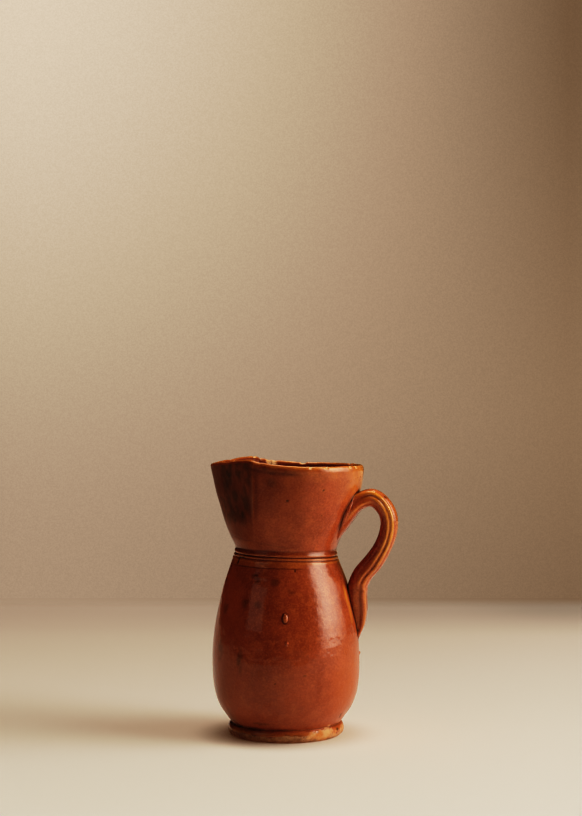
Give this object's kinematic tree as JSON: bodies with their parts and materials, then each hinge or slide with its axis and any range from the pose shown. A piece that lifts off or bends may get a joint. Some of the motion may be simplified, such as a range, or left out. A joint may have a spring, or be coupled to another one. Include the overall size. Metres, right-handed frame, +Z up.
{
  "type": "glazed earthenware jug",
  "caption": "Hand-thrown glazed earthenware jug with a pear-shaped belly, flared neck, folded pouring beak, strap handle and low foot, for storing and pouring liquids.",
  "frame": {"origin": "on the resting plane, under the throwing axis, at the centre of the flat underside", "axes": "+Z up along the throwing axis, -X along the beak, the handle on the +X side turned a little towards -Y"},
  "size_m": [0.1377, 0.1156, 0.2053],
  "materials": {
    "glazed_clay": "glossy orange-brown lead-type glaze over red earthenware",
    "bare_clay": "mostly bare fired clay, matt"
  },
  "bodies": {
    "root": {"belly": "glazed_clay", "foot_ring": "bare_clay", "neck": "glazed_clay", "spout": "glazed_clay", "handle": "glazed_clay"}
  },
  "joints": []
}
